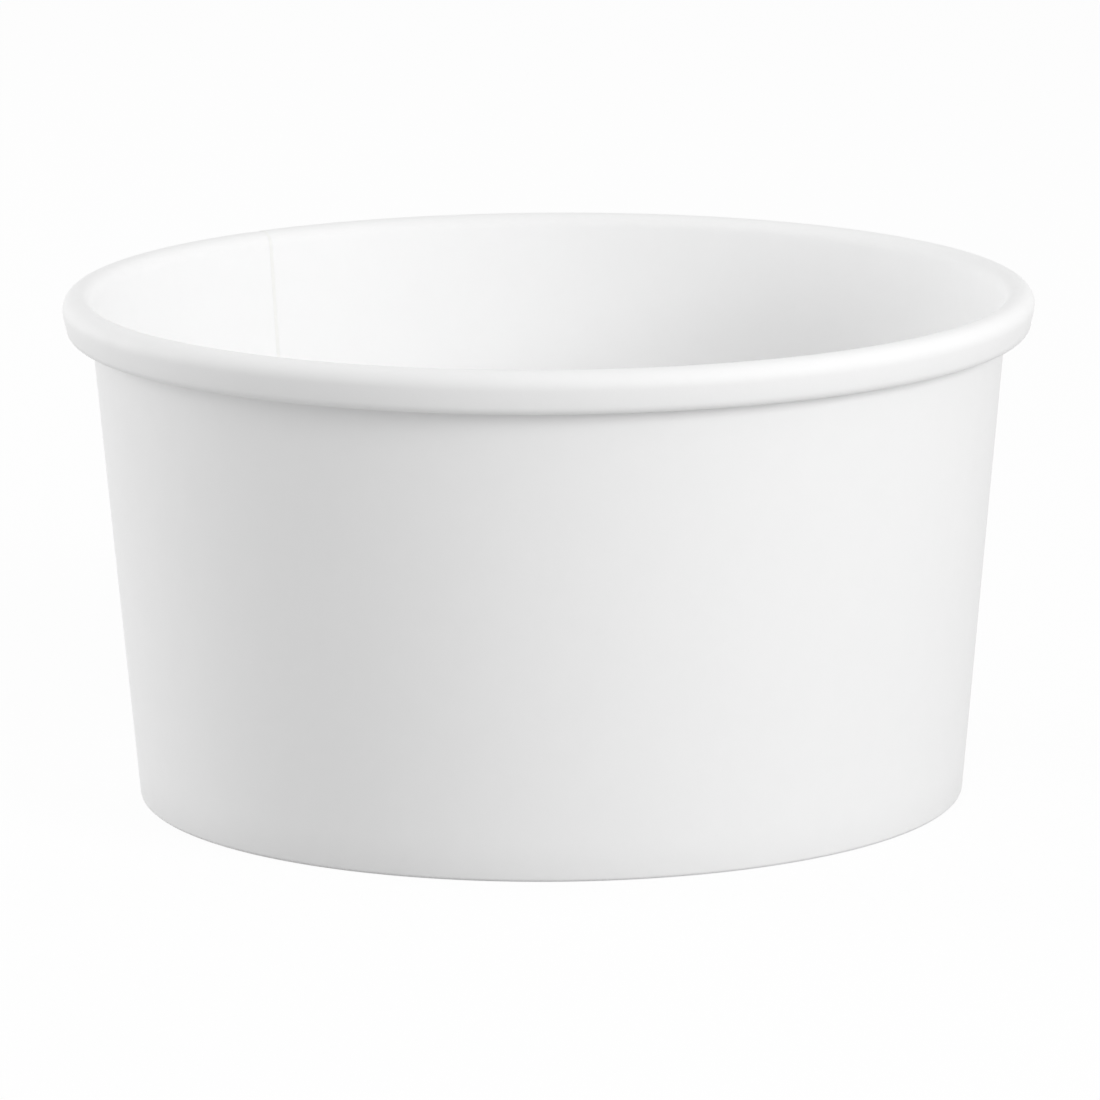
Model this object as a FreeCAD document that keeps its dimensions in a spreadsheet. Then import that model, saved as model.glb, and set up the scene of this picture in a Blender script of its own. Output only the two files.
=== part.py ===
import FreeCAD, Part
import math
import os
import Sketcher
from FreeCAD import Vector

# Plain paper sundae cup. Its origin is the centre of the plane that it rests on, with +Z up.
# Sizes are in millimetres, and the one angle in degrees, counter-clockwise from +X.
SIZES = [
    ("rim_radius", 46.0, "outermost radius of the rolled rim"),
    ("cup_height", 48.4, "resting plane to the top of the rolled rim"),
    ("base_radius", 39.3, "outer radius of the foot"),
    ("wall_board", 0.33, "thickness of the side wall's board"),
    ("curl_radius", 1.43, "outside radius of the rim's upper bend"),
    ("tuck_bend", 0.32, "inside radius of the rim's lower bend, where the board is doubled"),
    ("curl_drop", 1.61, "distance between the centres of the rim's two bends"),
    ("curl_gap", 0.06, "clearance of the tucked edge from the doubled wall"),
    ("tuck_length", 0.9, "straight end of the board inside the rolled rim"),
    ("fold_bend", 0.06, "inside radius of the two corners of the folded foot"),
    ("hem_height", 5.6, "resting plane to the edge of the folded hem"),
    ("seam_azimuth", 129.1, "direction of the side seam's inner cut edge"),
    ("lap_width", 6.5, "overlap of the side seam, measured round the foot"),
    ("ease_width", 1.6, "length in which the lapped board steps by one thickness"),
    ("disc_board", 0.3, "thickness of the bottom's board"),
    ("seal_gap", 0.03, "clearance on each side of the bottom's skirt"),
    ("floor_level", 7.0, "resting plane to the underside of the bottom"),
    ("floor_bend", 0.5, "inside radius of the bend between bottom and skirt"),
]

PLIES_AT_LAP = 2


def write_sheet(doc):
    """Put the driving dimensions in a spreadsheet, one alias to a row."""
    sheet = doc.addObject("Spreadsheet::Sheet", "sizes")
    for row, (alias, value, note) in enumerate(SIZES, start=1):
        sheet.set(f"A{row}", alias)
        sheet.set(f"B{row}", str(value))
        sheet.setAlias(f"B{row}", alias)
        sheet.set(f"C{row}", note)
    doc.recompute()
    return sheet


class Size:
    """The sheet's values as numbers, for the places where a sketch's lines are first drawn."""

    def __init__(self, sheet):
        for alias, _, _ in SIZES:
            setattr(self, alias, float(sheet.get(alias)))
        self.tuck_radius = self.tuck_bend + PLIES_AT_LAP * self.wall_board
        self.tuck_offset = PLIES_AT_LAP * self.wall_board + self.curl_gap + self.tuck_radius
        self.pocket = self.disc_board + 2 * self.seal_gap
        self.curl_centre = Vector(self.rim_radius - self.curl_radius,
                                  self.cup_height - self.curl_radius)
        corner = self.fold_bend + self.wall_board
        self.fold_centre = Vector(self.base_radius - corner, corner)
        # The wall's inner face touches the upper bend from inside and the foot's corner from outside.
        span = self.curl_centre - self.fold_centre
        taper = (math.acos((self.curl_radius + self.fold_bend) / span.Length)
                 - math.atan2(span.y, span.x))
        self.outward = Vector(math.cos(taper), -math.sin(taper))
        self.upward = Vector(math.sin(taper), math.cos(taper))


# The same derived sizes as expressions, which keep the sketches tied to the sheet.
TUCK_RADIUS = f"(sizes.tuck_bend + {PLIES_AT_LAP} * sizes.wall_board)"
TUCK_OFFSET = f"({PLIES_AT_LAP} * sizes.wall_board + sizes.curl_gap + {TUCK_RADIUS})"
POCKET = "(sizes.disc_board + 2 * sizes.seal_gap)"
CURL_X = "sizes.rim_radius - sizes.curl_radius"
CURL_Y = "sizes.cup_height - sizes.curl_radius"
FOLD_X = "sizes.base_radius - sizes.fold_bend - sizes.wall_board"
FOLD_Y = "sizes.fold_bend + sizes.wall_board"
LAP_ANGLE = "(sizes.lap_width / sizes.base_radius * 180 / pi)"
EASE_ANGLE = "(sizes.ease_width / sizes.base_radius * 180 / pi)"


def origin_plane(body, role):
    """The body's own origin plane with this role."""
    return next(item for item in body.Origin.OriginFeatures if item.Role == role)


class Profile:
    """A sketch in a half plane through the cup's axis: x is the radius and y the height.

    Each drawn element is a tuple: its index, then the sketch's numbers for the ends at which
    the board's path enters and leaves it.
    """

    def __init__(self, body, name, azimuth="0"):
        self.sketch = body.newObject("Sketcher::SketchObject", name)
        self.sketch.AttachmentSupport = [(origin_plane(body, "XZ_Plane"), "")]
        self.sketch.MapMode = "FlatFace"
        about_axis = FreeCAD.Rotation(Vector(0, 1, 0), 90)
        self.sketch.AttachmentOffset = FreeCAD.Placement(Vector(), about_axis)
        self.sketch.setExpression("AttachmentOffset.Rotation.Angle", azimuth)

    def line(self, start, end, construction=False):
        """A straight run from start to end."""
        index = self.sketch.addGeometry(Part.LineSegment(start, end), construction)
        return index, 1, 2

    def bend(self, centre, radius, start, end, clockwise):
        """An arc about centre, from direction start to direction end."""
        circle = Part.Circle(centre, Vector(0, 0, 1), radius)
        first, last = (end, start) if clockwise else (start, end)
        arc = Part.ArcOfCircle(circle, math.atan2(first.y, first.x), math.atan2(last.y, last.x))
        index = self.sketch.addGeometry(arc, False)
        return (index, 2, 1) if clockwise else (index, 1, 2)

    def hold(self, kind, *places, size=None):
        """Add a constraint, and bind its value to the sheet where it has one."""
        if size is None:
            return self.sketch.addConstraint(Sketcher.Constraint(kind, *places))
        value = self.sketch.evalExpression(size)
        value = float(getattr(value, "Value", value))
        index = self.sketch.addConstraint(Sketcher.Constraint(kind, *places, value))
        self.sketch.setExpression(f"Constraints[{index}]", size)
        return index

    def place(self, index, end, x=None, y=None):
        """Hold a point at a radius, a height or both."""
        if x is not None:
            self.hold("DistanceX", -1, 1, index, end, size=x)
        if y is not None:
            self.hold("DistanceY", -1, 1, index, end, size=y)

    def guide(self, centre, radius, x, y, size):
        """A construction circle, used to lay a line against a bend."""
        circle = Part.Circle(centre, Vector(0, 0, 1), radius)
        index = self.sketch.addGeometry(circle, True)
        self.place(index, 3, x, y)
        self.hold("Radius", index, size=size)
        return index

    def smooth(self, path):
        """Join each element of a path to the next with one tangent."""
        for before, after in zip(path, path[1:]):
            self.hold("Tangent", before[0], before[2], after[0], after[1])

    def close(self, first, first_end, second, second_end):
        """A straight cut edge between the ends of two elements."""
        ends = (self.sketch.getPoint(first, first_end), self.sketch.getPoint(second, second_end))
        cut, start, end = self.line(*ends)
        self.hold("Coincident", cut, start, first, first_end)
        self.hold("Coincident", cut, end, second, second_end)


def board_face(profile, size, depth, plies):
    """One face of the side wall's board, as a path from the hem's edge to the tucked edge.

    The path lies depth thicknesses outside the wall's inner face. The fold of the foot is lifted
    so that a board of this many plies still rests on the plane z = 0.
    """
    out, up = size.outward, size.upward
    down = Vector(0, -1)
    offset = depth * size.wall_board
    corner = size.fold_bend + offset
    outer = size.fold_centre + up * ((plies - 1) * size.wall_board / up.y)
    inner = outer - Vector((size.pocket - 2 * size.fold_bend) / out.x, 0)
    hem_foot = inner - out * corner
    hem_edge = hem_foot + up * ((size.hem_height - hem_foot.y) / up.y)
    curl_radius = size.curl_radius - offset
    tuck_radius = size.tuck_radius - offset
    sideways = size.tuck_offset - size.curl_radius
    step = out * sideways - up * math.sqrt(size.curl_drop ** 2 - sideways ** 2)
    tuck_centre = size.curl_centre + step
    lean = math.acos((size.curl_radius - size.tuck_radius) / size.curl_drop)
    turn = FreeCAD.Rotation(Vector(0, 0, 1), math.degrees(lean))
    front = turn.multVec(step).normalize()
    tuck_end = tuck_centre - out * tuck_radius

    hem = profile.line(hem_edge, hem_foot)
    inner_bend = profile.bend(inner, corner, -out, down, clockwise=False)
    foot = profile.line(inner + down * corner, outer + down * corner)
    outer_bend = profile.bend(outer, corner, down, out, clockwise=False)
    wall = profile.line(outer + out * corner, size.curl_centre - out * curl_radius)
    curl = profile.bend(size.curl_centre, curl_radius, -out, front, clockwise=True)
    drop = profile.line(size.curl_centre + front * curl_radius, tuck_centre + front * tuck_radius)
    tuck = profile.bend(tuck_centre, tuck_radius, front, -out, clockwise=True)
    end = profile.line(tuck_end, tuck_end + up * size.tuck_length)
    path = [hem, inner_bend, foot, outer_bend, wall, curl, drop, tuck, end]
    profile.smooth(path)

    shift = f"{depth} * sizes.wall_board"
    profile.place(hem[0], 1, y="sizes.hem_height")
    profile.hold("Radius", inner_bend[0], size=f"sizes.fold_bend + {shift}")
    profile.hold("Horizontal", foot[0])
    profile.place(foot[0], 1, y=f"{plies - depth} * sizes.wall_board")
    profile.hold("Radius", outer_bend[0], size=f"sizes.fold_bend + {shift}")
    corner_guide = profile.guide(size.fold_centre, corner, FOLD_X, FOLD_Y,
                                 f"sizes.fold_bend + {shift}")
    profile.hold("Tangent", wall[0], corner_guide)
    profile.hold("Parallel", hem[0], wall[0])
    profile.hold("Distance", hem[0], 1, wall[0], size=f"{POCKET} + 2 * {shift}")
    profile.place(curl[0], 3, CURL_X, CURL_Y)
    profile.hold("Radius", curl[0], size=f"sizes.curl_radius - {shift}")
    profile.hold("Distance", tuck[0], 3, curl[0], 3, size="sizes.curl_drop")
    profile.hold("Distance", tuck[0], 3, wall[0], size=f"{TUCK_OFFSET} - {shift}")
    profile.hold("Radius", tuck[0], size=f"{TUCK_RADIUS} - {shift}")
    profile.hold("Parallel", end[0], wall[0])
    profile.hold("Distance", end[0], 1, end[0], 2, size="sizes.tuck_length")
    return path


def board_section(body, size, name, azimuth, inside, outside, plies):
    """The board's cross-section at an azimuth, between two depths counted in thicknesses."""
    profile = Profile(body, name, azimuth)
    near = board_face(profile, size, inside, plies)
    far = board_face(profile, size, outside, plies)
    profile.close(near[0][0], 1, far[0][0], 1)
    profile.close(near[-1][0], 2, far[-1][0], 2)
    return profile.sketch


def sweep_round(body, name, section, angle):
    """Turn a section round the cup's axis, counter-clockwise seen from above."""
    ring = body.newObject("PartDesign::Revolution", name)
    ring.Profile = section
    ring.ReferenceAxis = (section, ["V_Axis"])
    ring.setExpression("Angle", angle)
    return ring


def ease_between(body, name, first, second):
    """Join two sections at nearby azimuths with straight rules."""
    ease = body.newObject("PartDesign::AdditiveLoft", name)
    ease.Profile = first
    ease.Sections = [second]
    ease.Ruled = True
    return ease


def make_side_wall(doc, size):
    """One wrapped board: lapped side seam, rolled rim and foot folded in and up."""
    body = doc.addObject("PartDesign::Body", "side_wall")
    body.Label = "side_wall"
    lap_end = "sizes.seam_azimuth"
    lap_start = f"({lap_end} - {LAP_ANGLE})"
    before = f"({lap_start} - {EASE_ANGLE})"
    after = f"({lap_end} + {EASE_ANGLE})"

    single = board_section(body, size, "single_board", after, 0, 1, 1)
    sweep_round(body, "single_wall", single, f"360 - {LAP_ANGLE} - 2 * {EASE_ANGLE}")
    level = board_section(body, size, "level_board", before, 0, 1, 1)
    lifted = board_section(body, size, "lifted_board", lap_start, 0, 1, PLIES_AT_LAP)
    ease_between(body, "inner_ply_ease", level, lifted)
    doubled = board_section(body, size, "doubled_board", lap_start, 0, 2, PLIES_AT_LAP)
    sweep_round(body, "lapped_wall", doubled, LAP_ANGLE)
    upper = board_section(body, size, "upper_board", lap_end, 1, 2, PLIES_AT_LAP)
    joined = board_section(body, size, "joined_board", after, 0, 1, 1)
    ease_between(body, "outer_ply_ease", upper, joined)
    return body


def make_bottom_disc(doc, size):
    """A round board whose edge is bent down into a skirt, held between wall and hem."""
    body = doc.addObject("PartDesign::Body", "bottom_disc")
    body.Label = "bottom_disc"
    profile = Profile(body, "disc_section")
    out, up = size.outward, size.upward
    wall_foot = size.fold_centre + out * size.fold_bend
    wall_top = size.curl_centre - out * size.curl_radius
    floor_top = size.floor_level + size.disc_board
    skirt_foot = PLIES_AT_LAP * size.wall_board + size.seal_gap

    def on_skirt(gap, height):
        """A point at this distance inside the wall and at this height."""
        base = wall_foot - out * gap
        return base + up * ((height - base.y) / up.y)

    near, far = size.seal_gap, size.seal_gap + size.disc_board
    outer_radius = size.floor_bend + size.disc_board
    centre = on_skirt(near + outer_radius, size.floor_level - size.floor_bend)
    wall = profile.line(wall_foot, wall_top, construction=True)
    corner_guide = profile.guide(size.fold_centre, size.fold_bend, FOLD_X, FOLD_Y,
                                 "sizes.fold_bend")
    curl_guide = profile.guide(size.curl_centre, size.curl_radius, CURL_X, CURL_Y,
                               "sizes.curl_radius")
    profile.hold("Tangent", wall[0], corner_guide)
    profile.hold("Tangent", wall[0], curl_guide)
    profile.place(wall[0], 1, y=FOLD_Y)
    profile.place(wall[0], 2, y=CURL_Y)

    top = profile.line(Vector(0, floor_top), Vector(centre.x, floor_top))
    outer_bend = profile.bend(centre, outer_radius, Vector(0, 1), out, clockwise=True)
    outer = profile.line(centre + out * outer_radius, on_skirt(near, skirt_foot))
    inner = profile.line(on_skirt(far, skirt_foot), centre + out * size.floor_bend)
    inner_bend = profile.bend(centre, size.floor_bend, out, Vector(0, 1), clockwise=False)
    under = profile.line(Vector(centre.x, size.floor_level), Vector(0, size.floor_level))
    profile.smooth([top, outer_bend, outer])
    profile.smooth([inner, inner_bend, under])
    profile.close(outer[0], 2, inner[0], 1)
    profile.close(under[0], 2, top[0], 1)

    profile.hold("Horizontal", top[0])
    profile.place(top[0], 1, "0", "sizes.floor_level + sizes.disc_board")
    profile.hold("Radius", outer_bend[0], size="sizes.floor_bend + sizes.disc_board")
    profile.hold("Parallel", outer[0], wall[0])
    profile.hold("Distance", outer[0], 2, wall[0], size="sizes.seal_gap")
    foot_height = f"{PLIES_AT_LAP} * sizes.wall_board + sizes.seal_gap"
    profile.place(outer[0], 2, y=foot_height)
    profile.place(inner[0], 1, y=foot_height)
    profile.hold("Coincident", inner_bend[0], 3, outer_bend[0], 3)
    profile.hold("Radius", inner_bend[0], size="sizes.floor_bend")
    profile.hold("Parallel", inner[0], wall[0])
    profile.hold("Horizontal", under[0])
    profile.place(under[0], 2, "0")
    sweep_round(body, "disc", profile.sketch, "360")
    return body


def check(doc, bodies):
    """Stop if any object failed or a piece is not one valid solid."""
    for item in doc.Objects:
        if "Invalid" in item.State or "Error" in item.State:
            raise RuntimeError(f"{item.Name} failed: {item.State}")
    for body in bodies:
        shape = body.Shape
        if shape.isNull() or not shape.isValid() or len(shape.Solids) != 1:
            raise RuntimeError(f"{body.Label} is not one valid solid")


def main():
    """Build the cup and write one file for each piece."""
    doc = FreeCAD.newDocument("paper_cup")
    size = Size(write_sheet(doc))
    bodies = [make_side_wall(doc, size), make_bottom_disc(doc, size)]
    doc.recompute()
    check(doc, bodies)
    os.makedirs("parts", exist_ok=True)
    for body in bodies:
        body.Shape.exportStep(f"parts/{body.Label}.step")
        box = body.Shape.optimalBoundingBox(False)
        print(f"{body.Label}: volume {body.Shape.Volume:.2f} mm3, "
              f"x {box.XMin:.3f} to {box.XMax:.3f}, z {box.ZMin:.3f} to {box.ZMax:.3f}")


main()
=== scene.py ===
"""A plain white paper sundae cup: one wrapped board, and a round bottom held in its foot."""
import logging
import math
from dataclasses import dataclass, field
from enum import Enum
from functools import partial
from typing import Any, Callable

import bmesh
import bpy
from mathutils import Matrix, Vector


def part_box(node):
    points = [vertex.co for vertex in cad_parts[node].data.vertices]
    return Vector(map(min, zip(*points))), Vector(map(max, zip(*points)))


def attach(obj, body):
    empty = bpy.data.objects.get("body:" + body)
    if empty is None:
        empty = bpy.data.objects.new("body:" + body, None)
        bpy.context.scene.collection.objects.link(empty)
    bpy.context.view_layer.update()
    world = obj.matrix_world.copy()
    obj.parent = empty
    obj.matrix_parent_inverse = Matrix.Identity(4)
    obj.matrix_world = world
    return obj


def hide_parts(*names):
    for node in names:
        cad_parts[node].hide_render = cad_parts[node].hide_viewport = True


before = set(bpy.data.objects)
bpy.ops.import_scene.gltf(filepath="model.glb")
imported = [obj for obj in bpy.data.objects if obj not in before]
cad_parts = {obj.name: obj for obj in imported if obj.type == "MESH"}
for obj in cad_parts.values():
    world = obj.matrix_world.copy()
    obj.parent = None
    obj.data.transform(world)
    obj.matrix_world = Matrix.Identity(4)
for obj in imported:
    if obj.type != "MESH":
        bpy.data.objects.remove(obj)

LOG = logging.getLogger("paper_cup")
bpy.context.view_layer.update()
MM = 0.001
SAME_POINT = 1e-7
SAME_VERTEX = 1e-6
BODY = "root"
WHITE = (1.0, 1.0, 1.0, 1.0)

MATH = "ShaderNodeMath"
WHOLE = "FunctionNodeIntegerMath"
COMPARE = "FunctionNodeCompare"
MIX = "ShaderNodeMix"
NOISE = "ShaderNodeTexNoise"
MAP_RANGE = "ShaderNodeMapRange"
# Socket numbers of Compare for whole numbers and of Mix, whose sockets share their names.
WHOLE_A, WHOLE_B = 2, 3
FACTOR, FLOAT_A, FLOAT_B = 0, 2, 3
COLOUR_A, COLOUR_B, COLOUR_RESULT = 6, 7, 2

# The section's attributes: how much of the lap's fold, the crimps, the rim's ironing and the
# wall's wave a point gets.
SHARES = ("fold_share", "crimp_share", "rim_share", "wave_share")
# The finish of a face: the section's own face of the board, its other face, or a cut edge.
NEAR, FAR, CUT = range(3)
# A board has two faces, and the lap has two plies of it.
BOARD_FACES = 2
LAP_PLIES = 2


def linear(code: str) -> tuple[float, float, float, float]:
    """Turn an sRGB hex colour into the linear colour that a shader reads.

    Args:
        code: The colour as six hex digits.

    Returns:
        Linear red, green and blue, with an alpha of 1.
    """
    parts = [int(code[i:i + 2], 16) / 255 for i in (0, 2, 4)]
    curve = [p / 12.92 if p <= 0.04045 else ((p + 0.055) / 1.055) ** 2.4 for p in parts]
    return (*curve, 1.0)


def add(tree: bpy.types.NodeTree, kind: str, inputs: dict[Any, Any] | tuple[Any, ...] = (),
        **settings: Any) -> bpy.types.Node:
    """Add a node with its settings, constants and links.

    Args:
        tree: The tree that gets the node.
        kind: The node's type name.
        inputs: The sockets' values, in order, or by socket name or number. Each is a constant,
            another node's socket, or a node, which stands for its first output.
        **settings: Properties of the node, set before its sockets.

    Returns:
        The new node.
    """
    node = tree.nodes.new(kind)
    for name, value in settings.items():
        setattr(node, name, value)
    for key, value in inputs.items() if isinstance(inputs, dict) else enumerate(inputs):
        if isinstance(value, bpy.types.Node):
            value = value.outputs[0]
        if isinstance(value, bpy.types.NodeSocket):
            tree.links.new(value, node.inputs[key])
        else:
            node.inputs[key].default_value = value
    return node


class BoardFace(Enum):
    """The finishes that a piece of cup board shows, by the face that carries them."""

    COATED = "film_coated_board_inside"
    SATIN = "clay_coated_board_outside"
    CUT = "cut_board_edge"


@dataclass(frozen=True)
class BoardFinish:
    """White cup board: bleached pulp, calendered smooth, under clay or a polyethylene film."""

    face: BoardFace
    colour: str
    cloud_colour: str
    roughness: float
    cloud_mm: float = 2.6
    grain_mm: float = 0.35
    grain_height_mm: float = 0.004
    cockle_mm: float = 14.0
    cockle_height_mm: float = 0.012
    cloud_detail: float = 3.0
    cloud_roughness: float = 0.6
    cloud_low: float = 0.3
    cloud_high: float = 0.7
    grain_detail: float = 2.0
    cockle_detail: float = 1.0
    roughness_swing: float = 0.05
    gloss: float = 0.2
    refraction: float = 1.5

    def material(self) -> bpy.types.Material:
        """Build the board's material: faint pulp clouds, fine grain and a shallow cockle.

        Returns:
            The material, patterned in object coordinates.
        """
        material = bpy.data.materials.new(self.face.value)
        material.use_nodes = True
        tree = material.node_tree
        shader = tree.nodes["Principled BSDF"]
        shader.inputs["IOR"].default_value = self.refraction
        shader.inputs["Specular IOR Level"].default_value = self.gloss
        place = add(tree, "ShaderNodeTexCoord").outputs["Object"]
        # Pulp settles in clouds a few millimetres wide, a shade apart.
        clouds = add(tree, NOISE, {"Vector": place, "Scale": 1 / (self.cloud_mm * MM),
                                   "Detail": self.cloud_detail,
                                   "Roughness": self.cloud_roughness})
        spread = {"Value": clouds, "From Min": self.cloud_low, "From Max": self.cloud_high}
        ramp = add(tree, MAP_RANGE, spread)
        colour = add(tree, MIX, {FACTOR: ramp, COLOUR_A: linear(self.colour),
                                 COLOUR_B: linear(self.cloud_colour)}, data_type="RGBA")
        tree.links.new(colour.outputs[COLOUR_RESULT], shader.inputs["Base Color"])
        # The coat's gloss wavers a little with the same clouds.
        waver = add(tree, MAP_RANGE, {**spread, "To Min": self.roughness - self.roughness_swing,
                                      "To Max": self.roughness + self.roughness_swing})
        tree.links.new(waver.outputs[0], shader.inputs["Roughness"])
        # Fine grain of the calendered fibres, then the board's shallow cockle.
        grain = add(tree, NOISE, {"Vector": place, "Scale": 1 / (self.grain_mm * MM),
                                  "Detail": self.grain_detail})
        cockle = add(tree, NOISE, {"Vector": place, "Scale": 1 / (self.cockle_mm * MM),
                                   "Detail": self.cockle_detail})
        fine = add(tree, "ShaderNodeBump", {"Height": grain, "Strength": 1.0,
                                            "Distance": self.grain_height_mm * MM})
        broad = add(tree, "ShaderNodeBump", {"Height": cockle, "Strength": 1.0, "Normal": fine,
                                             "Distance": self.cockle_height_mm * MM})
        tree.links.new(broad.outputs[0], shader.inputs["Normal"])
        return material


FINISHES = [
    # Polyethylene film over bleached board: clean white, with a dull sheen.
    BoardFinish(BoardFace.COATED, "FAFAFA", "F9F9F9", roughness=0.6),
    # Clay-coated outer face: the same white, more matt.
    BoardFinish(BoardFace.SATIN, "F9F9F9", "F8F8F8", roughness=0.7),
    # Bare fibres where the blank was cut: a slightly warmer white, quite matt.
    BoardFinish(BoardFace.CUT, "FAFAF8", "F7F7F5", roughness=0.9, cloud_mm=0.6, grain_mm=0.12,
                grain_height_mm=0.01),
]


class Section:
    """The path of one face of a board in the half plane through the cup's axis.

    The board lies to the right of the path's direction of travel. Each point keeps the direction
    from that face into the board, so that the other face is an exact offset.
    """

    def __init__(self) -> None:
        """Start an empty path."""
        self.points: list[Vector] = []
        self.inward: list[Vector] = []
        self.parts: list[str] = []

    def _put(self, point: Vector, inward: Vector, part: str) -> None:
        """Add a point, unless the path already ends there.

        Args:
            point: Its radius and height.
            inward: The direction from it into the board.
            part: The name of its stretch of the board.
        """
        if self.points and (self.points[-1] - point).length < SAME_POINT:
            return
        self.points.append(point)
        self.inward.append(inward)
        self.parts.append(part)

    def line(self, start: Vector, end: Vector, steps: int, part: str) -> None:
        """A straight run.

        Args:
            start: Its first point, as radius and height.
            end: Its last point.
            steps: How many equal steps it has.
            part: The name of this stretch of the board.
        """
        heading = (end - start).normalized()
        for i in range(steps + 1):
            self._put(start.lerp(end, i / steps), Vector((heading.y, -heading.x)), part)

    def bend(self, centre: Vector, radius: float, start: Vector, end: Vector, steps: int,
             part: str, clockwise: bool) -> None:
        """An arc about a centre.

        Args:
            centre: The arc's centre.
            radius: Its radius.
            start: Direction from the centre to its first point.
            end: Direction from the centre to its last point.
            steps: How many equal steps it has.
            part: The name of this stretch of the board.
            clockwise: Whether it turns clockwise, with the board on its inner side.
        """
        first = math.atan2(start.y, start.x)
        turn = (math.atan2(end.y, end.x) - first) % math.tau
        if clockwise:
            turn -= math.tau
        for i in range(steps + 1):
            angle = first + turn * i / steps
            spoke = Vector((math.cos(angle), math.sin(angle)))
            self._put(centre + spoke * radius, -spoke if clockwise else spoke, part)

    def mesh(self, name: str, shares: dict[str, Callable[[Vector, str], float]]) -> bpy.types.Mesh:
        """Store the path as a chain of edges with its attributes.

        Args:
            name: The mesh's name.
            shares: Attribute name to a function of a point and its stretch's name.

        Returns:
            The mesh, with radius along X and height along Z.
        """
        mesh = bpy.data.meshes.new(name)
        count = len(self.points)
        mesh.from_pydata([(p.x, 0, p.y) for p in self.points],
                         [(i, i + 1) for i in range(count - 1)], [])
        inward = mesh.attributes.new("inward", "FLOAT_VECTOR", "POINT")
        inward.data.foreach_set("vector", [c for v in self.inward for c in (v.x, 0, v.y)])
        for key, share in shares.items():
            layer = mesh.attributes.new(key, "FLOAT", "POINT")
            layer.data.foreach_set("value", [share(p, t) for p, t in zip(self.points, self.parts)])
        return mesh


@dataclass(frozen=True)
class CupSizes:
    """The cup's driving dimensions in metres; the rim and the height come from the frame."""

    rim_radius: float
    cup_height: float
    base_radius: float = 39.3 * MM
    wall_board: float = 0.33 * MM
    curl_radius: float = 1.43 * MM
    tuck_bend: float = 0.32 * MM
    curl_drop: float = 1.61 * MM
    curl_gap: float = 0.06 * MM
    tuck_length: float = 0.9 * MM
    fold_bend: float = 0.06 * MM
    hem_height: float = 5.6 * MM
    seam_azimuth: float = math.radians(129.1)
    lap_width: float = 6.5 * MM
    ease_width: float = 1.6 * MM
    disc_board: float = 0.3 * MM
    seal_gap: float = 0.03 * MM
    floor_level: float = 7.0 * MM
    floor_bend: float = 0.5 * MM
    glue_gap: float = 0.01 * MM
    pressed_share: float = 0.4
    rim_ironing: float = 0.8
    edge_bevel: float = 0.27 * MM

    @property
    def curl_centre(self) -> Vector:
        """Centre of the rim's upper bend, as radius and height."""
        return Vector((self.rim_radius - self.curl_radius, self.cup_height - self.curl_radius))

    @property
    def fold_centre(self) -> Vector:
        """Centre of the foot's outer corner, as radius and height."""
        corner = self.fold_bend + self.wall_board
        return Vector((self.base_radius - corner, corner))

    @property
    def taper(self) -> float:
        """Angle by which the wall leans outwards."""
        span = self.curl_centre - self.fold_centre
        return (math.acos((self.curl_radius + self.fold_bend) / span.length)
                - math.atan2(span.y, span.x))

    @property
    def outward(self) -> Vector:
        """Direction square to the wall, out of the cup."""
        return Vector((math.cos(self.taper), -math.sin(self.taper)))

    @property
    def upward(self) -> Vector:
        """Direction up the wall."""
        return Vector((math.sin(self.taper), math.cos(self.taper)))


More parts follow.
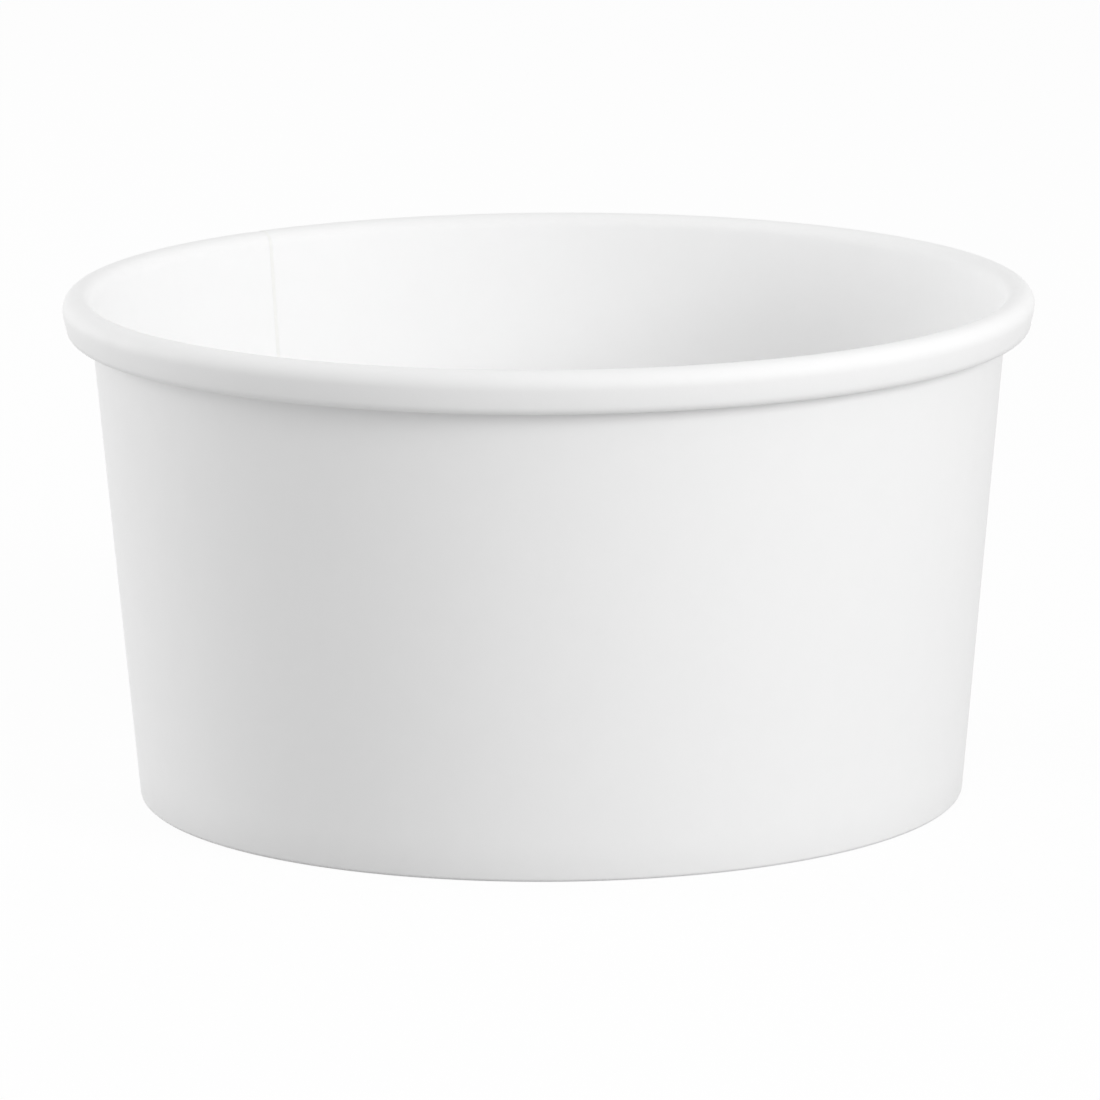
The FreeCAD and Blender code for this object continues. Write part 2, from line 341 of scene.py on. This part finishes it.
class WrapTree:
    """The node tree that wraps a flat board round the cup's axis along a section.

    The board starts at the side seam's inner cut edge and runs round to its outer one. Over the
    lap its last stretch steps out by one ply and lies on the first.
    """

    # The sizes that both groups take, with the values of a plain ring of board.
    SIZES = {"Seam Azimuth": 0.0, "Lap Angle": 0.0, "Ease Angle": 0.02, "Board": 0.3 * MM,
             "Pressed Share": 1.0, "Rim Ironing": 0.0, "Edge Bevel": 0.0, "Glue Gap": 0.0,
             "Lean": 0.0, "Crimp Count": 1.0, "Crimp Depth": 0.0, "Wave Depth": 0.0,
             "Wave Length": 50 * MM, "Seed": 0.0}
    MATERIALS = ("Near Material", "Far Material", "Cut Material")
    # Up the wall the waves are longer than round it.
    WAVE_SQUEEZE = 0.5
    NOISE_MIDDLE = 0.5

    def __init__(self) -> None:
        """Build the placing group, then the tree that uses it for each face."""
        self.place_group = self._placing_group()
        self.tree = self._wrapping_tree()

    def _open(self, name: str, inputs: dict[str, str], result: str,
              kind: str) -> bpy.types.NodeTree:
        """Start a group with its sockets, the sizes among them.

        Args:
            name: The group's name.
            inputs: The names of its other inputs, and their kinds of value.
            result: The name of its output.
            kind: The output's kind of value.

        Returns:
            The group, without nodes.
        """
        tree = bpy.data.node_groups.new(name, "GeometryNodeTree")
        for key, value_kind in inputs.items():
            tree.interface.new_socket(key, in_out="INPUT", socket_type="NodeSocket" + value_kind)
        for key, value in self.SIZES.items():
            socket = tree.interface.new_socket(key, in_out="INPUT", socket_type="NodeSocketFloat")
            socket.default_value = value
        tree.interface.new_socket(result, in_out="OUTPUT", socket_type="NodeSocket" + kind)
        return tree

    def _placing_group(self) -> bpy.types.NodeTree:
        """The group that gives the place of a point from its section index, face and turn.

        Returns:
            The group, with a position as its output.
        """
        tree = self._open("place_on_cup", {"Section": "Geometry", "Index": "Int",
                                           "Face": "Float", "Turn": "Float"},
                          "Position", "Vector")
        make = partial(add, tree)
        given = make("NodeGroupInput").outputs
        stored = {}
        for name, kind in (("point", "FLOAT_VECTOR"), ("inward", "FLOAT_VECTOR"),
                           *((share, "FLOAT") for share in SHARES)):
            if name == "point":
                value = make("GeometryNodeInputPosition")
            else:
                value = make("GeometryNodeInputNamedAttribute", {"Name": name}, data_type=kind)
            stored[name] = make("GeometryNodeSampleIndex",
                                {"Geometry": given["Section"], "Value": value,
                                 "Index": given["Index"]}, data_type=kind, domain="POINT")
        point = make("ShaderNodeSeparateXYZ", (stored["point"],)).outputs
        inward = make("ShaderNodeSeparateXYZ", (stored["inward"],)).outputs

        # The inner cut edge is bevelled: its far face starts a little sooner than its near one.
        whole_turn = make(MATH, (given["Lap Angle"], math.tau), operation="ADD")
        gone = make(MATH, (given["Turn"], whole_turn), operation="DIVIDE")
        left = make(MATH, (1.0, gone), operation="SUBTRACT")
        start = make(MATH, (given["Face"], given["Edge Bevel"]), operation="MULTIPLY")
        start = make(MATH, (left, start), operation="MULTIPLY")
        turn = make(MATH, (given["Turn"], start), operation="SUBTRACT")
        azimuth = make(MATH, (given["Seam Azimuth"], turn), operation="SUBTRACT")
        cosine = make(MATH, (azimuth,), operation="COSINE")
        sine = make(MATH, (azimuth,), operation="SINE")

        # The outer ply climbs on to the inner one just before the seam's inner cut edge.
        lapped = make(MATH, (given["Lap Angle"], 0.0), operation="GREATER_THAN")
        lap_turn = make(MATH, (math.tau, given["Edge Bevel"]), operation="SUBTRACT")
        ease_turn = make(MATH, (lap_turn, given["Ease Angle"]), operation="SUBTRACT")
        climb = make(MAP_RANGE, {"Value": turn, "From Min": ease_turn, "From Max": lap_turn},
                     interpolation_type="SMOOTHSTEP")
        climb = make(MATH, (climb, lapped), operation="MULTIPLY")
        # The inner ply is folded one ply higher at the foot, as far as the outer one covers it.
        lap_end = make(MATH, (given["Lap Angle"], given["Ease Angle"]), operation="ADD")
        cover = make(MAP_RANGE, {"Value": turn, "From Min": lap_end,
                                 "From Max": given["Lap Angle"]},
                     interpolation_type="SMOOTHSTEP")
        cover = make(MATH, (cover, lapped), operation="MULTIPLY")
        doubled = make(MATH, (climb, cover), operation="MAXIMUM")

        # The sealing jaw leaves both plies of the lap thinner than the board, and the rim's die
        # irons them thinner still.
        ironing = make(MATH, (given["Rim Ironing"], stored["rim_share"]), operation="MULTIPLY")
        kept = make(MATH, (1.0, ironing), operation="SUBTRACT")
        pressed = make(MATH, (kept, given["Pressed Share"]), operation="MULTIPLY")
        loss = make(MATH, (1.0, pressed), operation="SUBTRACT")
        loss = make(MATH, (loss, doubled), operation="MULTIPLY")
        kept = make(MATH, (1.0, loss), operation="SUBTRACT")
        board = make(MATH, (kept, given["Board"]), operation="MULTIPLY")
        layer = make(MATH, (pressed, given["Board"], given["Glue Gap"]),
                     operation="MULTIPLY_ADD")
        # The lap's fold is set so that its outer ply still stands on the floor.
        thinning = make(MATH, (loss, given["Board"]), operation="MULTIPLY")
        lift = make(MATH, (doubled, layer), operation="MULTIPLY")
        lift = make(MATH, (lift, thinning), operation="SUBTRACT")
        lift = make(MATH, (lift, stored["fold_share"]), operation="MULTIPLY")

        # Crimps beat round the hem.
        beat = make(MATH, (azimuth, given["Crimp Count"]), operation="MULTIPLY")
        beat = make(MATH, (beat,), operation="COSINE")
        crimp = make(MATH, (beat, given["Crimp Depth"]), operation="MULTIPLY")
        crimp = make(MATH, (crimp, stored["crimp_share"]), operation="MULTIPLY")
        depth = make(MATH, (given["Face"], board, crimp), operation="MULTIPLY_ADD")
        depth = make(MATH, (climb, layer, depth), operation="MULTIPLY_ADD")
        radius = make(MATH, (inward["X"], depth, point["X"]), operation="MULTIPLY_ADD")
        radius = make(MATH, (lift, given["Lean"], radius), operation="MULTIPLY_ADD")
        height = make(MATH, (inward["Z"], depth, point["Z"]), operation="MULTIPLY_ADD")
        height = make(MATH, (height, lift), operation="ADD")

        # A board never springs quite round: a slow noise moves the wall in and out.
        spot = make("ShaderNodeCombineXYZ", (
            make(MATH, (cosine, point["X"]), operation="MULTIPLY"),
            make(MATH, (sine, point["X"]), operation="MULTIPLY"),
            make(MATH, (point["Z"], self.WAVE_SQUEEZE), operation="MULTIPLY")))
        pitch = make(MATH, (1.0, given["Wave Length"]), operation="DIVIDE")
        wave = make(NOISE, {"Vector": spot, "W": given["Seed"], "Detail": 0.0, "Scale": pitch},
                    noise_dimensions="4D")
        wave = make(MATH, (wave, self.NOISE_MIDDLE), operation="SUBTRACT")
        wave = make(MATH, (wave, given["Wave Depth"]), operation="MULTIPLY")
        radius = make(MATH, (wave, stored["wave_share"], radius), operation="MULTIPLY_ADD")
        place = make("ShaderNodeCombineXYZ", (
            make(MATH, (radius, cosine), operation="MULTIPLY"),
            make(MATH, (radius, sine), operation="MULTIPLY"), height))
        make("NodeGroupOutput", {"Position": place})
        return tree

    def _wrapping_tree(self) -> bpy.types.NodeTree:
        """The modifier's tree: faces, cut edges, materials and smoothing.

        Returns:
            The tree, whose geometry input is a section.
        """
        tree = self._open("wrap_board", {"Geometry": "Geometry", "Steps": "Int",
                                         "Closed Section": "Int",
                                         **{name: "Material" for name in self.MATERIALS}},
                          "Geometry", "Geometry")
        make = partial(add, tree)
        given = make("NodeGroupInput").outputs
        shared = {"Section": given["Geometry"], **{name: given[name] for name in self.SIZES}}
        whole_turn = make(MATH, (given["Lap Angle"], math.tau), operation="ADD")
        lapped = make(MATH, (given["Lap Angle"], 0.0), operation="GREATER_THAN")
        index = make("GeometryNodeInputIndex")
        count = make("GeometryNodeAttributeDomainSize", (given["Geometry"],), component="MESH")
        ring = make(WHOLE, (count, BOARD_FACES), operation="MULTIPLY")
        rows = make(WHOLE, (ring, given["Closed Section"]), operation="ADD")
        columns = make(WHOLE, (given["Steps"], 1), operation="ADD")

        # Both faces and the cut edges that run round the cup are one grid.
        grid = make("GeometryNodeMeshGrid", {"Vertices X": columns, "Vertices Y": rows})
        row = make(WHOLE, (index, rows), operation="MODULO")
        row = make(WHOLE, (row, ring), operation="MODULO")
        far = make(COMPARE, {WHOLE_A: row, WHOLE_B: count}, data_type="INT",
                   operation="GREATER_EQUAL")
        last = make(WHOLE, (ring, 1), operation="SUBTRACT")
        back = make(WHOLE, (last, row), operation="SUBTRACT")
        section_row = make("GeometryNodeSwitch", {"Switch": far, "False": row, "True": back},
                           input_type="INT")
        column = make(WHOLE, (index, rows), operation="DIVIDE_FLOOR")
        turn = make(MATH, (column, given["Steps"]), operation="DIVIDE")
        turn = make(MATH, (turn, whole_turn), operation="MULTIPLY")
        place = make("GeometryNodeGroup", {**shared, "Index": section_row, "Face": far,
                                           "Turn": turn}, node_tree=self.place_group)
        shell = make("GeometryNodeSetPosition", {"Geometry": grid, "Position": place})

        # Each face is marked with its finish: near, else far, and one more for the cut edges.
        strips = make(WHOLE, (rows, 1), operation="SUBTRACT")
        strip = make(WHOLE, (index, strips), operation="MODULO")
        near_end = make(WHOLE, (count, 1), operation="SUBTRACT")
        near = make(COMPARE, {WHOLE_A: strip, WHOLE_B: near_end}, data_type="INT",
                    operation="LESS_THAN")
        ends = [make(COMPARE, {WHOLE_A: strip, WHOLE_B: end}, data_type="INT", operation="EQUAL")
                for end in (near_end, last)]
        edges = make("FunctionNodeBooleanMath", tuple(ends), operation="OR")
        not_near = make(WHOLE, (FAR, near), operation="SUBTRACT")
        finish = make(WHOLE, (not_near, edges), operation="ADD")
        shell = make("GeometryNodeStoreNamedAttribute",
                     {"Geometry": shell, "Name": "finish", "Value": finish}, data_type="INT",
                     domain="FACE")

        # The side seam's two cut edges are strips from face to face.
        pieces = [shell]
        strip_row = make(WHOLE, (index, count), operation="MODULO")
        strip_face = make(WHOLE, (index, count), operation="DIVIDE_FLOOR")
        for end in (0.0, 1.0):
            grid = make("GeometryNodeMeshGrid", {"Vertices X": BOARD_FACES, "Vertices Y": count})
            turn = make(MATH, (whole_turn, end), operation="MULTIPLY")
            place = make("GeometryNodeGroup", {**shared, "Index": strip_row, "Face": strip_face,
                                               "Turn": turn}, node_tree=self.place_group)
            cut = make("GeometryNodeSetPosition", {"Geometry": grid, "Position": place})
            cut = make("GeometryNodeStoreNamedAttribute",
                       {"Geometry": cut, "Name": "finish", "Value": CUT}, data_type="INT",
                       domain="FACE")
            pieces.append(make("GeometryNodeSwitch", {"Switch": lapped, "True": cut},
                               input_type="GEOMETRY"))
        joined = make("GeometryNodeJoinGeometry")
        for piece in pieces:
            tree.links.new(piece.outputs[0], joined.inputs[0])
        merged = make("GeometryNodeMergeByDistance", {"Geometry": joined,
                                                      "Distance": SAME_VERTEX})
        finish = make("GeometryNodeInputNamedAttribute", {"Name": "finish"}, data_type="INT")
        rounded = make(COMPARE, {WHOLE_A: finish, WHOLE_B: CUT}, data_type="INT",
                       operation="LESS_THAN")
        smooth = make("GeometryNodeSetShadeSmooth", {"Geometry": merged, "Selection": rounded})
        result = make("GeometryNodeRealizeInstances", {"Geometry": smooth})
        for value, name in zip((NEAR, FAR, CUT), self.MATERIALS):
            chosen = make(COMPARE, {WHOLE_A: finish, WHOLE_B: value}, data_type="INT",
                          operation="EQUAL")
            result = make("GeometryNodeSetMaterial", {"Geometry": result, "Selection": chosen,
                                                      "Material": given[name]})
        make("NodeGroupOutput", {"Geometry": result})
        return tree

    def wrap(self, name: str, section: bpy.types.Mesh, values: dict[str, Any]) -> bpy.types.Object:
        """Wrap a section and keep the result as a plain mesh.

        Args:
            name: The finished piece's name.
            section: The section's mesh, which is used up.
            values: The tree's input names and what they are set to.

        Returns:
            The finished piece, in the scene.
        """
        piece = bpy.data.objects.new(name, section)
        bpy.context.collection.objects.link(piece)
        modifier = piece.modifiers.new("wrap", "NODES")
        modifier.node_group = self.tree
        sockets = {item.name: item.identifier for item in self.tree.interface.items_tree
                   if item.in_out == "INPUT"}
        for key, value in values.items():
            modifier[sockets[key]] = value
        graph = bpy.context.evaluated_depsgraph_get()
        mesh = bpy.data.meshes.new_from_object(piece.evaluated_get(graph))
        piece.modifiers.remove(modifier)
        piece.data = mesh
        mesh.name = name
        # The section had no material, so the first slot came out empty.
        mesh.materials.pop(index=0)
        bpy.data.meshes.remove(section)
        shape = bmesh.new()
        shape.from_mesh(mesh)
        bmesh.ops.recalc_face_normals(shape, faces=shape.faces)
        shape.to_mesh(mesh)
        shape.free()
        return piece


def join_frame(piece: bpy.types.Object, node: str) -> None:
    """Put a finished piece in the frame, in place of its solid.

    Args:
        piece: The finished piece.
        node: The solid's node that it stands for.
    """
    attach(piece, BODY)
    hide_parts(node)
    LOG.info("%s: %d faces for %s", piece.name, len(piece.data.polygons), node)


def fade(value: float, low: float, high: float) -> float:
    """A smooth step from 0 at low to 1 at high."""
    x = min(max((value - low) / (high - low), 0.0), 1.0)
    return x * x * (3 - 2 * x)


@dataclass
class SideWall:
    """The wrapped side board: lapped seam, rolled rim, and foot folded in and up."""

    sizes: CupSizes
    steps: int = 592
    crimp_count: int = 144
    crimp_depth: float = 0.05 * MM
    wave_depth: float = 0.22 * MM
    wave_length: float = 38 * MM
    crimp_margin: float = 0.6 * MM
    wave_start: float = 7 * MM
    wave_full: float = 22 * MM
    wave_seed: float = 3.0
    hem_steps: int = 7
    fold_steps: int = 3
    wall_steps: int = 14
    curl_steps: int = 16
    tuck_steps: int = 11
    end_steps: int = 2

    def section(self) -> Section:
        """The inner face's path, from the hem's edge to the edge tucked into the rim.

        Returns:
            The path, with its stretches named.
        """
        s = self.sizes
        path = Section()
        out, up = s.outward, s.upward
        down = Vector((0, -1))

        # The foot folds in and up round the disc's skirt, with a seal on each side of it.
        corner = s.fold_bend
        pocket = s.disc_board + 2 * s.seal_gap
        outer = s.fold_centre
        inner = outer - Vector(((pocket - 2 * corner) / out.x, 0))
        hem_foot = inner - out * corner
        hem_edge = hem_foot + up * ((s.hem_height - hem_foot.y) / up.y)
        path.line(hem_edge, hem_foot, self.hem_steps, "hem")
        path.bend(inner, corner, -out, down, self.fold_steps, "fold", clockwise=False)
        path.line(inner + down * corner, outer + down * corner, 1, "fold")
        path.bend(outer, corner, down, out, self.fold_steps, "fold", clockwise=False)

        # The rim's upper bend hands over to a tighter one, which tucks the edge in behind it and
        # leaves room for the wall's lap.
        tuck_radius = s.tuck_bend + LAP_PLIES * s.wall_board
        sideways = LAP_PLIES * s.wall_board + s.curl_gap + tuck_radius - s.curl_radius
        step = out * sideways - up * math.sqrt(s.curl_drop ** 2 - sideways ** 2)
        tuck_centre = s.curl_centre + step
        lean = math.acos((s.curl_radius - tuck_radius) / s.curl_drop)
        front = (Matrix.Rotation(lean, 2) @ step).normalized()
        tuck_end = tuck_centre - out * tuck_radius
        path.line(outer + out * corner, s.curl_centre - out * s.curl_radius, self.wall_steps,
                  "wall")
        path.bend(s.curl_centre, s.curl_radius, -out, front, self.curl_steps, "curl",
                  clockwise=True)
        path.line(s.curl_centre + front * s.curl_radius, tuck_centre + front * tuck_radius, 1,
                  "curl")
        path.bend(tuck_centre, tuck_radius, front, -out, self.tuck_steps, "curl", clockwise=True)
        path.line(tuck_end, tuck_end + up * s.tuck_length, self.end_steps, "curl")
        return path

    def build(self, tree: WrapTree, materials: dict[BoardFace, bpy.types.Material]) -> None:
        """Wrap the board and put it in the frame.

        Args:
            tree: The tree that wraps it.
            materials: The board's finishes.
        """
        s = self.sizes

        def crimp_share(point: Vector, part: str) -> float:
            """How much the crimping wheel marks the hem, which it spares at its edge and fold.

            Args:
                point: The section's point.
                part: The name of its stretch.

            Returns:
                The share of the crimps' full depth.
            """
            if part != "hem":
                return 0.0
            margin = self.crimp_margin
            top = s.hem_height - margin
            return fade(point.y, margin, 2 * margin) * (1 - fade(point.y, top - margin, top))

        def rim_share(point: Vector, part: str) -> float:
            """How much the rim's die irons the lap, from the wall's top to the board's end.

            Args:
                point: The section's point.
                part: The name of its stretch.

            Returns:
                The share of the full ironing.
            """
            if part != "curl":
                return 0.0
            if point.x > s.curl_centre.x:
                return 1.0
            return fade(point.y, s.curl_centre.y, s.cup_height)

        shares = {
            "fold_share": lambda p, part: 1 - fade(p.y, s.wall_board, s.hem_height),
            "crimp_share": crimp_share,
            "rim_share": rim_share,
            "wave_share": lambda p, part: fade(p.y, self.wave_start, self.wave_full),
        }
        piece = tree.wrap("cup_side_wall", self.section().mesh("side_section", shares), {
            "Steps": self.steps, "Closed Section": 1, "Seam Azimuth": s.seam_azimuth,
            "Lap Angle": s.lap_width / s.base_radius, "Ease Angle": s.ease_width / s.base_radius,
            "Board": s.wall_board, "Pressed Share": s.pressed_share,
            "Rim Ironing": s.rim_ironing, "Edge Bevel": s.edge_bevel / s.base_radius,
            "Glue Gap": s.glue_gap, "Lean": math.tan(s.taper),
            "Crimp Count": float(self.crimp_count), "Crimp Depth": self.crimp_depth,
            "Wave Depth": self.wave_depth, "Wave Length": self.wave_length,
            "Seed": self.wave_seed,
            "Near Material": materials[BoardFace.COATED],
            "Far Material": materials[BoardFace.SATIN],
            "Cut Material": materials[BoardFace.CUT],
        })
        join_frame(piece, "side_wall")


@dataclass
class BottomDisc:
    """The round bottom, whose edge is bent down into the folded foot."""

    sizes: CupSizes
    steps: int = 288
    floor_steps: int = 22
    bend_steps: int = 8
    skirt_steps: int = 3

    def section(self) -> Section:
        """The upper face's path, from the axis to the skirt's foot.

        Returns:
            The path, with its stretches named.
        """
        s = self.sizes
        path = Section()
        out, up = s.outward, s.upward
        top = s.floor_level + s.disc_board
        radius = s.floor_bend + s.disc_board
        wall_foot = s.fold_centre + out * (s.fold_bend - s.seal_gap)
        on_wall = wall_foot - out * radius
        centre = on_wall + up * ((top - radius - on_wall.y) / up.y)
        # The skirt ends a seal's thickness above the foot's fold, which is two plies at the lap.
        skirt_foot = LAP_PLIES * s.wall_board + s.seal_gap
        end = wall_foot + up * ((skirt_foot - wall_foot.y) / up.y)
        path.line(Vector((0, top)), Vector((centre.x, top)), self.floor_steps, "floor")
        path.bend(centre, radius, Vector((0, 1)), out, self.bend_steps, "bend", clockwise=True)
        path.line(centre + out * radius, end, self.skirt_steps, "skirt")
        return path

    def build(self, tree: WrapTree, materials: dict[BoardFace, bpy.types.Material]) -> None:
        """Sweep the disc round and put it in the frame.

        Args:
            tree: The tree that wraps it.
            materials: The board's finishes.
        """
        s = self.sizes
        shares = {name: lambda p, part: 0.0 for name in SHARES}
        piece = tree.wrap("cup_bottom", self.section().mesh("disc_section", shares), {
            "Steps": self.steps, "Closed Section": 0, "Seam Azimuth": 0.0, "Lap Angle": 0.0,
            "Board": s.disc_board, "Near Material": materials[BoardFace.COATED],
            "Far Material": materials[BoardFace.SATIN],
            "Cut Material": materials[BoardFace.CUT],
        })
        join_frame(piece, "bottom_disc")


@dataclass(frozen=True)
class Lamp:
    """One soft lamp on a stand, aimed at the cup.

    Azimuth 0 stands where the camera does, and 90 to the right of it, seen from the camera.
    """

    name: str
    azimuth: float
    elevation: float
    distance: float
    width: float
    height: float
    power: float

    def hang(self, target: Vector) -> bpy.types.Object:
        """Put the lamp in the scene.

        Args:
            target: The point that it shines at.

        Returns:
            The lamp's object.
        """
        azimuth, elevation = math.radians(self.azimuth), math.radians(self.elevation)
        level = math.cos(elevation)
        away = Vector((math.sin(azimuth) * level, -math.cos(azimuth) * level,
                       math.sin(elevation)))
        light = bpy.data.lights.new(self.name, "AREA")
        light.shape = "RECTANGLE"
        light.size = self.width
        light.size_y = self.height
        light.energy = self.power
        lamp = bpy.data.objects.new(self.name, light)
        lamp.location = target + away * self.distance
        lamp.rotation_mode = "QUATERNION"
        lamp.rotation_quaternion = (-away).to_track_quat("-Z", "Y")
        bpy.context.collection.objects.link(lamp)
        return lamp


@dataclass
class Studio:
    """A white sweep under soft lamps, and the camera at the photograph's angle."""

    lamps: list[Lamp] = field(default_factory=lambda: [
        Lamp("key_right", azimuth=47, elevation=21.5, distance=0.8, width=0.38, height=0.28,
             power=2.53),
        Lamp("side_left", azimuth=-111, elevation=13, distance=0.7, width=0.35, height=0.35,
             power=1.66),
    ])
    sky: float = 0.667
    floor_half: float = 3.0
    floor_colour: str = "C4C4C4"
    floor_roughness: float = 0.9
    floor_glow: float = 0.92
    camera_elevation: float = math.radians(11.27)
    camera_distance: float = 781.2 * MM
    camera_roll: float = -0.0062
    lens: float = 268.5
    sensor: float = 36.0
    nearest: float = 0.01
    farthest: float = 20.0
    aim_height: float = 23.0 * MM
    fitted_height: float = 25.0 * MM

    def white_to_camera(self, tree: bpy.types.NodeTree) -> bpy.types.Node:
        """A number that is 1 for what the camera sees, also in gloss and through glass.

        Args:
            tree: The material's or the world's tree.

        Returns:
            The node that gives the number.
        """
        path = add(tree, "ShaderNodeLightPath").outputs
        mirror = add(tree, MATH, (path["Is Glossy Ray"], path["Is Transmission Ray"]),
                     operation="MAXIMUM")
        return add(tree, MATH, (path["Is Camera Ray"], mirror), operation="MAXIMUM")

    def build_world(self) -> None:
        """Even pale light from all round, white where the camera sees it."""
        world = bpy.data.worlds.new("white_studio")
        bpy.context.scene.world = world
        world.use_nodes = True
        tree = world.node_tree
        seen = self.white_to_camera(tree)
        strength = add(tree, MIX, {FACTOR: seen, FLOAT_A: self.sky, FLOAT_B: 1.0},
                       data_type="FLOAT")
        shade = tree.nodes["Background"]
        shade.inputs["Color"].default_value = WHITE
        tree.links.new(strength.outputs[0], shade.inputs["Strength"])

    def build_floor(self) -> None:
        """A white floor that keeps a light shadow of the cup."""
        mesh = bpy.data.meshes.new("studio_floor")
        half = self.floor_half
        mesh.from_pydata([(-half, -half, 0), (half, -half, 0), (half, half, 0), (-half, half, 0)],
                         [], [(0, 1, 2, 3)])
        floor = bpy.data.objects.new("studio_floor", mesh)
        bpy.context.collection.objects.link(floor)
        material = bpy.data.materials.new("matt_white_floor")
        material.use_nodes = True
        tree = material.node_tree
        shader = tree.nodes["Principled BSDF"]
        seen = self.white_to_camera(tree)
        tone = add(tree, MIX, {FACTOR: seen, COLOUR_A: linear(self.floor_colour),
                               COLOUR_B: WHITE}, data_type="RGBA")
        tree.links.new(tone.outputs[COLOUR_RESULT], shader.inputs["Base Color"])
        shader.inputs["Roughness"].default_value = self.floor_roughness
        shader.inputs["Specular IOR Level"].default_value = 0.0
        glow = add(tree, "ShaderNodeEmission", {"Color": WHITE, "Strength": 1.0})
        share = add(tree, MATH, (seen, self.floor_glow), operation="MULTIPLY")
        mixed = add(tree, "ShaderNodeMixShader", (share, shader, glow))
        tree.links.new(mixed.outputs[0], tree.nodes["Material Output"].inputs["Surface"])
        mesh.materials.append(material)

    def build_camera(self) -> None:
        """The camera as fitted to the photograph's outline of the cup."""
        data = bpy.data.cameras.new("photo_camera")
        data.lens = self.lens
        data.sensor_width = self.sensor
        data.sensor_fit = "HORIZONTAL"
        data.clip_start = self.nearest
        data.clip_end = self.farthest
        camera = bpy.data.objects.new("photo_camera", data)
        elevation = self.camera_elevation
        back = Vector((0, -math.cos(elevation), math.sin(elevation)))
        camera.location = Vector((0, 0, self.fitted_height)) + back * self.camera_distance
        sight = Vector((0, 0, self.aim_height)) - camera.location
        camera.rotation_mode = "QUATERNION"
        camera.rotation_quaternion = sight.to_track_quat("-Z", "Y")
        camera.rotation_quaternion @= Matrix.Rotation(self.camera_roll, 3, "Z").to_quaternion()
        bpy.context.collection.objects.link(camera)
        bpy.context.scene.camera = camera

    def build(self) -> None:
        """Set up the world, floor, lamps and camera."""
        self.build_world()
        self.build_floor()
        for lamp in self.lamps:
            lamp.hang(Vector((0, 0, self.fitted_height)))
        self.build_camera()
        bpy.context.scene.view_settings.view_transform = "Standard"
        LOG.info("studio: %d lamps", len(self.lamps))


def main(studio: Studio) -> None:
    """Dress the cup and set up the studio.

    Args:
        studio: The lamps, floor and camera to use.
    """
    logging.basicConfig(level=logging.INFO, format="%(name)s %(message)s")
    # The solid gives the rim's radius and the cup's height, to a tenth of a millimetre.
    low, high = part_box("side_wall")
    sizes = CupSizes(rim_radius=round((high.x - low.x) / 2 / MM, 1) * MM,
                     cup_height=round((high.z - low.z) / MM, 1) * MM)
    materials = {finish.face: finish.material() for finish in FINISHES}
    tree = WrapTree()
    SideWall(sizes).build(tree, materials)
    BottomDisc(sizes).build(tree, materials)
    studio.build()


if __name__ == "__main__":
    main(Studio())
